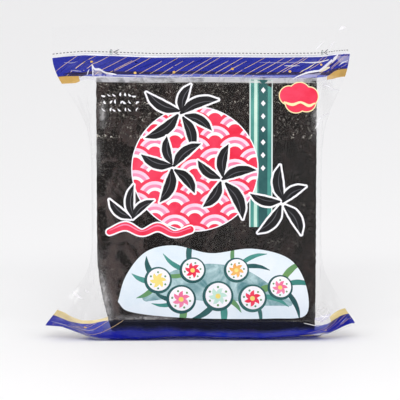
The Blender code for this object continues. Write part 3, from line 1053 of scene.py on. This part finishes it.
def wavy_ribbon():
    """A red ribbon with a white edge and a pink highlight."""
    line = ((-84, 92), (-70, 97), (-56, 91), (-42, 96), (-28, 90), (-14, 94))
    highlight = [(x, y + 1.3) for x, y in line]
    widths = (5, 7, 5, 7, 5, 6)
    shapes = [(stroke(line, widths, 40, 1.3), "white"), (stroke(line, widths, 40), "red")]
    return shapes + [(stroke(highlight, (0.4, 1.3, 0.6, 1.3, 0.6, 0.9), 40), "pink")]


def front_shapes():
    """The whole front print, from what lies lowest."""
    shapes = stripe(37, 57, 96, 225.5) + wave_disc(-10, 147, 54)
    shapes += flower_panel() + sprays() + wavy_ribbon()
    return shapes + cloud_tab(80, 210) + fleck_rows(-87, 196)


def cloud_tab(x, y):
    """A red cloud with a cream wave along its foot."""
    lobes = ((-9, 2, 8), (0, 4, 9), (8, 1, 8), (-3, -4, 9), (6, -4, 8))
    shapes = [(disc(x + dx, y + dy, r + 0.9), "cream") for dx, dy, r in lobes]
    shapes += [(disc(x + dx, y + dy, r), "red") for dx, dy, r in lobes]
    wave = ((x - 13, y - 4), (x - 6, y - 6), (x + 1, y - 4), (x + 8, y - 7), (x + 13, y - 5))
    shapes.append((stroke(wave, (1.6, 2.6, 1.8, 2.6, 1.4), 30), "cream"))
    return shapes


def fleck_rows(x, y):
    """Three rows of small white flecks."""
    shapes = []
    draw = random.Random(SEED + 4)
    for row in range(3):
        for column in range(7):
            left, low = x + column * 4.4, y + 15 - row * 6.6
            length, width = draw.uniform(1.4, 2.8) + 1.2, draw.uniform(1.6, 3.2) * 0.6
            shapes.append((leaf(left, low, draw.uniform(0, 180), length, width), "white"))
    return shapes


def band_shapes(low, high, seed, bare=0.0):
    """Thin slanting gold lines and small gold dots on an inked band, which may be bare about its
    middle."""
    draw = random.Random(seed)
    shapes = []
    x = BAND_FROM
    while x < BAND_TO:
        if abs(x + 8) < bare:
            x += 8.0
            continue
        start = low + draw.choice((0.4, 0.4, 0.4, 5.0))
        end = high - draw.choice((0.4, 0.4, 0.4, 4.0))
        lean = (end - start) * draw.uniform(1.34, 1.48)
        points = ((x, start), (x + lean / 2, (start + end) / 2), (x + lean, end))
        shapes.append((stroke(points, (0.25, 0.46, 0.25), 6), "gold line"))
        x += draw.choice((7.6, 8.6, 9.4, 10.2))
    for spot in range(6):
        x = -104 + spot * 42 + draw.uniform(-9, 9)
        y = draw.uniform(low + 3, high - 3)
        if abs(x) > bare:
            shapes.append((disc(x, y, 1.25, 12), "gold"))
    return shapes


def fold_glint_and_shade_shapes():
    """The film's sharp folds as painted tone: the dark painted shade and dull sheen under the white
    glints.
    """
    folds = [(ink, *fold) for ink, same in FOLD_GLINTS_AND_SHADE.items() for fold in same]
    return [(stroke(points, widths, 6 * len(points)), ink) for ink, widths, points in folds]


def cut_line_shapes(place):
    """A dashed cut line with two small pairs of open blades."""
    shapes = []
    x, low, high = CUT_FROM, place - DASH_HALF_HEIGHT, place + DASH_HALF_HEIGHT
    while x < CUT_TO:
        shapes.append((box(x, low, x + DASH, high), "grey"))
        x += DASH_PITCH
    for x in BLADES_AT:
        for turn in (-28, 28):
            shapes.append((leaf(x, place, turn, 5.0, 0.9, 0.0), "grey"))
            way = math.radians(180 + turn)
            eye = (x + 2.6 * math.cos(way), place + 2.6 * math.sin(way))
            shapes.append((disc(*eye, 1.1, 14), "grey"))
            shapes.append((disc(*eye, 0.6, 12), "pale edge"))
    return shapes


def film_finishes():
    """What each stretch of the film is finished with, in the order of the mesh's slots."""
    blue_tint = (0.2, 0.23, 0.66, 1.0)
    return {
        "clear": clear_film_material("clear film", 0.003),
        "high ink": inked_film_material("blue ink", rgb(40, 46, 170), blue_tint, 0.16),
        "high gold": inked_film_material("gold ink", rgb(212, 170, 88), (0.8, 0.6, 0.3, 1.0), 0.85),
        "edge line": inked_film_material("white edge", rgb(246, 246, 250), NO_TINT, 0.85),
        # Milky film, with the highlight of the fold over the stack's top edge painted in
        "hazed_glint": clear_film_material("hazed film", 0.72),
        "low ink": inked_film_material("lower blue ink", rgb(20, 31, 176), blue_tint, 0.14, 0.66),
        "low gold": inked_film_material("lower gold ink", rgb(240, 220, 160), (0.9, 0.8, 0.6, 1.0), 0.8),
    }


def fold_glint_and_shade_finishes():
    """What the sharp folds show: painted glints, sheen and shade, partly whitened or doubled film."""
    return {
        "white": inked_film_material("white glint fold", rgb(252, 251, 255), NO_TINT, 0.82),
        "dull": inked_film_material("dull fold", rgb(214, 210, 240), NO_TINT, 0.4),
        "cream": inked_film_material("cream glint fold", rgb(250, 238, 200), NO_TINT, 0.8),
        "dark": inked_film_material("dark shade fold", rgb(36, 24, 52), (0.5, 0.45, 0.6, 1.0), 0.55),
    }


def build_inks():
    """The opaque inks, each of two tones."""
    tones = {
        "white": ((246, 244, 248), (236, 234, 242)),
        "red": ((226, 36, 66), (236, 74, 104)),
        "pink": ((236, 110, 150), (240, 160, 190)),
        "pale pink": ((246, 222, 236), (240, 190, 214)),
        "black": ((24, 23, 26), (34, 33, 36)),
        "charcoal": ((74, 74, 80), (96, 96, 102)),
        "teal": ((58, 128, 120), (90, 160, 150)),
        "dark teal": ((34, 78, 80), (58, 106, 104)),
        "mint": ((176, 216, 204), (214, 234, 220)),
        "teal wash": ((88, 134, 140), (190, 216, 220), 60.0),
        "pale blue": ((228, 236, 243), (214, 228, 238)),
        "pale edge": ((225, 235, 232), (205, 225, 220)),
        "green": ((110, 150, 90), (80, 140, 110)),
        "yellow": ((238, 208, 96), (240, 226, 150)),
        "orange": ((230, 150, 70), (238, 190, 110)),
        "cream": ((248, 236, 190), (240, 220, 160)),
        "gold line": ((236, 206, 166), (206, 166, 120)),
        "gold": ((206, 160, 76), (226, 190, 110)),
        "grey": ((82, 82, 86), (104, 104, 110)),
    }
    return {
        name: ink_material(name, rgb(*first), rgb(*second), *scale)
        for name, (first, second, *scale) in tones.items()
    }


# The nori


def pressed_in(x, z, left, right, low):
    """How far the sheets' lower left corner is pressed inwards by the film."""
    across = np.clip((x - left) / (right - left), 0, 1)
    down = np.clip(1 - (z - low) / PRESSED_HEIGHT, 0, 1)
    return PRESSED_DEPTH * down**1.7 * (1 - across) ** 6


def sheet_outline(draw, left, right, low, high):
    """A ragged sheet outline from its lower left, with the lower left corner pressed in."""
    corners = ((left, low), (right, low), (right, high), (left, high))
    points = []
    for (ax, az), (bx, bz) in zip(corners, corners[1:] + corners[:1]):
        length = math.hypot(bx - ax, bz - az)
        count = int(length / OUTLINE_STEP)
        ux, uz = (bx - ax) / length, (bz - az) / length
        for step in range(count):
            share = step / count
            wobble = draw.uniform(-EDGE_WOBBLE, EDGE_WOBBLE) * (0.0 if step == 0 else 1.0)
            x, z = ax + (bx - ax) * share, az + (bz - az) * share
            x += float(pressed_in(x, z, left, right, low))
            points.append((x - uz * wobble, z + ux * wobble))
    return points


def add_leaf_sheet(points, faces, outline, front, back):
    """One thin sheet, as its two faces and its edge."""
    first, count = len(points), len(outline)
    points += [(x, front, z) for x, z in outline] + [(x, back, z) for x, z in outline]
    faces.append(tuple(first + k for k in range(count)))
    faces.append(tuple(first + count + k for k in reversed(range(count))))
    for k in range(count):
        after = (k + 1) % count
        faces.append((first + k, first + count + k, first + count + after, first + after))


def show_sheet(name, low, high, y, facing, material, seed):
    """An outer sheet with its own relief: waves, a pressed fold line and a crinkled edge."""
    columns = int((high[0] - low[0]) / RELIEF_STEP)
    rows = int((high[1] - low[1]) / RELIEF_STEP)
    xs, zs = np.linspace(low[0], high[0], columns + 1), np.linspace(low[1], high[1], rows + 1)
    x, z = np.meshgrid(xs, zs)
    across = (x - low[0]) / (high[0] - low[0])
    x = x + pressed_in(x, z, low[0], high[0], low[1])
    ragged_x = 0.5 * perlin_field(z, np.zeros_like(z), 2.6, 1.0, seed)
    ragged_z = 0.5 * perlin_field(x, np.zeros_like(x), 2.6, 1.0, seed + 1)
    side = np.maximum(smoothstep(0.02, 0.0, across), smoothstep(0.98, 1.0, across))
    up = (z - low[1]) / (high[1] - low[1])
    end = np.maximum(smoothstep(0.02, 0.0, up), smoothstep(0.98, 1.0, up))
    relief = 0.14 * perlin_field(x, z, 14.0, 22.0, seed + 2)
    relief += 0.07 * perlin_field(x, z, 3.0, 3.4, seed + 3)
    relief += 0.22 * np.exp(-(((z - FOLD_LINES[0]) / 1.2) ** 2))
    points = np.stack((x + ragged_x * side, y - facing * relief, z + ragged_z * end), axis=-1)
    faces = grid_faces(rows, columns, facing < 0)
    add_mesh(name, points.reshape(-1, 3), faces, [material])


def build_nori(material):
    """Ten bundles, each of ten ragged sheets, in the places of their solids, and an outer sheet
    at the front and the back."""
    draw = random.Random(SEED + 7)
    nodes = sorted(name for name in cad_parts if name.startswith("nori_sheets"))
    for bundle in range(len(nodes) // NODES_A_BUNDLE):
        members = nodes[bundle * NODES_A_BUNDLE : (bundle + 1) * NODES_A_BUNDLE]
        points, faces = [], []
        for node in members:
            low, high = (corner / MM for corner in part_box(node))
            for sheet in range(SHEETS_A_NODE):
                front = low.y + sheet * SHEET_PITCH
                shift = draw.uniform(-0.4, 0.4)
                rise = draw.uniform(-0.5, 0.25)
                left, right = low.x + shift + LEFT_ROOM, high.x + shift - RIGHT_ROOM
                outline = sheet_outline(draw, left, right, low.z + 0.3, high.z + rise)
                add_leaf_sheet(points, faces, outline, front, front + SHEET_THICKNESS)
        name = f"nori_bundle_{bundle + 1:02d}"
        add_mesh(name, points, faces, [material], members, smooth=False)
    outer = (("nori_front", nodes[0], 1, 11), ("nori_back", nodes[-1], -1, 31))
    for name, node, facing, seed in outer:
        low, high = (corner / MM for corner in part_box(node))
        y = low.y - OUTER_SHEET_GAP if facing > 0 else high.y + OUTER_SHEET_GAP
        start, end = (low.x + LEFT_ROOM, low.z), (high.x - RIGHT_ROOM, high.z)
        show_sheet(name, start, end, y, facing, material, seed)


# The drying sachet


def build_sachet(material):
    """A paper pillow with a crimped rim, filled with beads that show as soft bumps."""
    low, high = (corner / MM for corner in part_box("drying_sachet"))
    middle, size = (low + high) / 2, high - low
    columns, rows = 60, 74
    xs, zs = np.linspace(-1, 1, columns + 1), np.linspace(-1, 1, rows + 1)
    u, v = np.meshgrid(xs, zs)
    across, up = 1 - np.abs(u) ** 3, 1 - np.abs(v) ** 3
    x, z = u * size.x / 2, v * size.z / 2
    edge_x, edge_z = size.x / 2 - CRIMP, size.z / 2 - CRIMP
    rim_x = smoothstep(edge_x, edge_x - CRIMP_FADE, np.abs(x))
    rim_z = smoothstep(edge_z, edge_z - CRIMP_FADE, np.abs(z))
    fill = across * up * rim_x * rim_z
    beads = 0.36 * perlin_field(x, z, 2.9, 2.9, 41) + 0.3 * perlin_field(x, z, 9.0, 11.0, 42)
    teeth = 0.25 * np.sin(z * math.tau / TOOTH_PITCH) * (1 - rim_x)
    teeth += 0.25 * np.sin(x * math.tau / TOOTH_PITCH) * (1 - rim_z)
    half = 0.18 + (size.y / 2 - 0.6) * fill + beads * fill
    points, faces = [], []
    width, count = columns + 1, (columns + 1) * (rows + 1)
    for way in (-1, 1):
        y = middle.y + way * half + teeth
        points.append(np.stack((x + middle.x, y, z + middle.z), axis=-1).reshape(-1, 3))
        faces += grid_faces(rows, columns, way > 0, (way > 0) * count)
    rim = [row * width for row in range(rows + 1)]
    sides = (rim, [r + columns for r in rim], list(range(width)), [rows * width + c for c in range(width)])
    for side in sides:
        faces += [(a, b, b + count, a + count) for a, b in zip(side, side[1:])]
    add_mesh("sachet", np.concatenate(points), faces, [material], ["drying_sachet"])


# The lengthwise seam on the back film


def build_seam(film, material):
    """A strip of film laid over the back film, lifted a little and waved."""
    columns = np.linspace(-SEAM_HALF_WIDTH, SEAM_HALF_WIDTH, 9)
    rows = np.arange(film.place_of(SEAM_FOOT), film.at["edge line"], 2.0)
    x, along = np.meshgrid(columns, rows)
    lift = SEAM_LIFT + 0.075 * perlin_field(x, along, 4.0, 16.0, 51).ravel()
    points = film.on(x.ravel(), along.ravel(), lift[:, None], True)
    # Each face starts at its last corner, which decides the diagonal it is split along
    faces = [quad[-1:] + quad[:-1] for quad in grid_faces(len(rows) - 1, len(columns) - 1, True)]
    add_mesh("film_seam", points, faces, [material])


# The stage: a white floor, soft lights and the camera


def build_stage():
    floor = Surface("floor")
    floor.set(Base_Color=(0.93, 0.93, 0.935, 1.0), Roughness=0.6, Specular_IOR_Level=0.15)
    mesh = bpy.data.meshes.new("floor")
    half = 9.0
    corners = [(-half, -half, 0), (half, -half, 0), (half, half, 0), (-half, half, 0)]
    mesh.from_pydata(corners, [], [(0, 1, 2, 3)])
    mesh.materials.append(floor.done())
    plane = bpy.data.objects.new("floor", mesh)
    bpy.context.scene.collection.objects.link(plane)

    world = bpy.data.worlds.new("studio")
    world.use_nodes = True
    background = world.node_tree.nodes["Background"]
    background.inputs["Color"].default_value = (0.985, 0.98, 0.985, 1.0)
    background.inputs["Strength"].default_value = 0.905
    bpy.context.scene.world = world

    soft_light("left strip", (-1.2, -1.2, 0.8), (0, 0, 0.12), (0.12, 1.2), 2.6)
    soft_light("right strip", (1.2, -1.0, 0.75), (0, 0, 0.12), (0.1, 1.1), 2.0)
    soft_light("front", (0.0, -1.3, 1.3), (0, -0.1, 0.0), (1.1, 0.3), 6.6)


def soft_light(name, place, target, size, power):
    light = bpy.data.lights.new(name, "AREA")
    light.shape, light.energy = "RECTANGLE", power
    light.size, light.size_y = size
    lamp = bpy.data.objects.new(name, light)
    lamp.location = place
    lamp.rotation_euler = (Vector(target) - Vector(place)).to_track_quat("-Z", "Y").to_euler()
    bpy.context.scene.collection.objects.link(lamp)


def build_camera():
    """A long lens from a little above, with the photograph's frame 346.8 mm wide at the packet."""
    distance, elevation, frame_width = 3.2, math.radians(11), 0.3468
    aim = Vector((0, 0, 0.1182))
    camera = bpy.data.cameras.new("camera")
    camera.sensor_width = 36.0
    camera.lens = camera.sensor_width * distance / frame_width
    camera.clip_start, camera.clip_end = 0.1, 50.0
    holder = bpy.data.objects.new("camera", camera)
    back = Vector((0, -math.cos(elevation), math.sin(elevation)))
    holder.location = aim + back * distance
    holder.rotation_euler = (-back).to_track_quat("-Z", "Y").to_euler()
    bpy.context.scene.collection.objects.link(holder)
    bpy.context.scene.camera = holder
    bpy.context.scene.view_settings.view_transform = "Standard"


def main():
    film = Film()
    build_film(film, film_finishes())
    build_seam(film, clear_film_material("seam film", 0.1))

    inks = build_inks()
    at = film.at
    upper, lower = (at["high ink"], at["edge line"]), (at["low ink"], at["low gold"])
    print_on(film, "front_print", front_shapes(), inks, 0.06)
    print_on(film, "upper_band_lines", band_shapes(*upper, 61), inks, 0.1, 8.0)
    print_on(film, "lower_band_lines", band_shapes(*lower, 67, 92.0), inks, 0.1, 8.0)
    print_on(film, "back_band_lines", band_shapes(*upper, 71), inks, 0.1, 8.0, True)
    print_on(film, "cut_line", cut_line_shapes(film.place_of(CUT_LINE)), inks, 0.08, 8.0)

    # Painted glints, sheen and shade along the film's folds
    print_on(film, "film_fold_glints_and_shade", fold_glint_and_shade_shapes(), fold_glint_and_shade_finishes(), 0.16, 6.0)

    build_nori(nori_material())
    build_sachet(paper_material())
    build_stage()
    build_camera()


main()
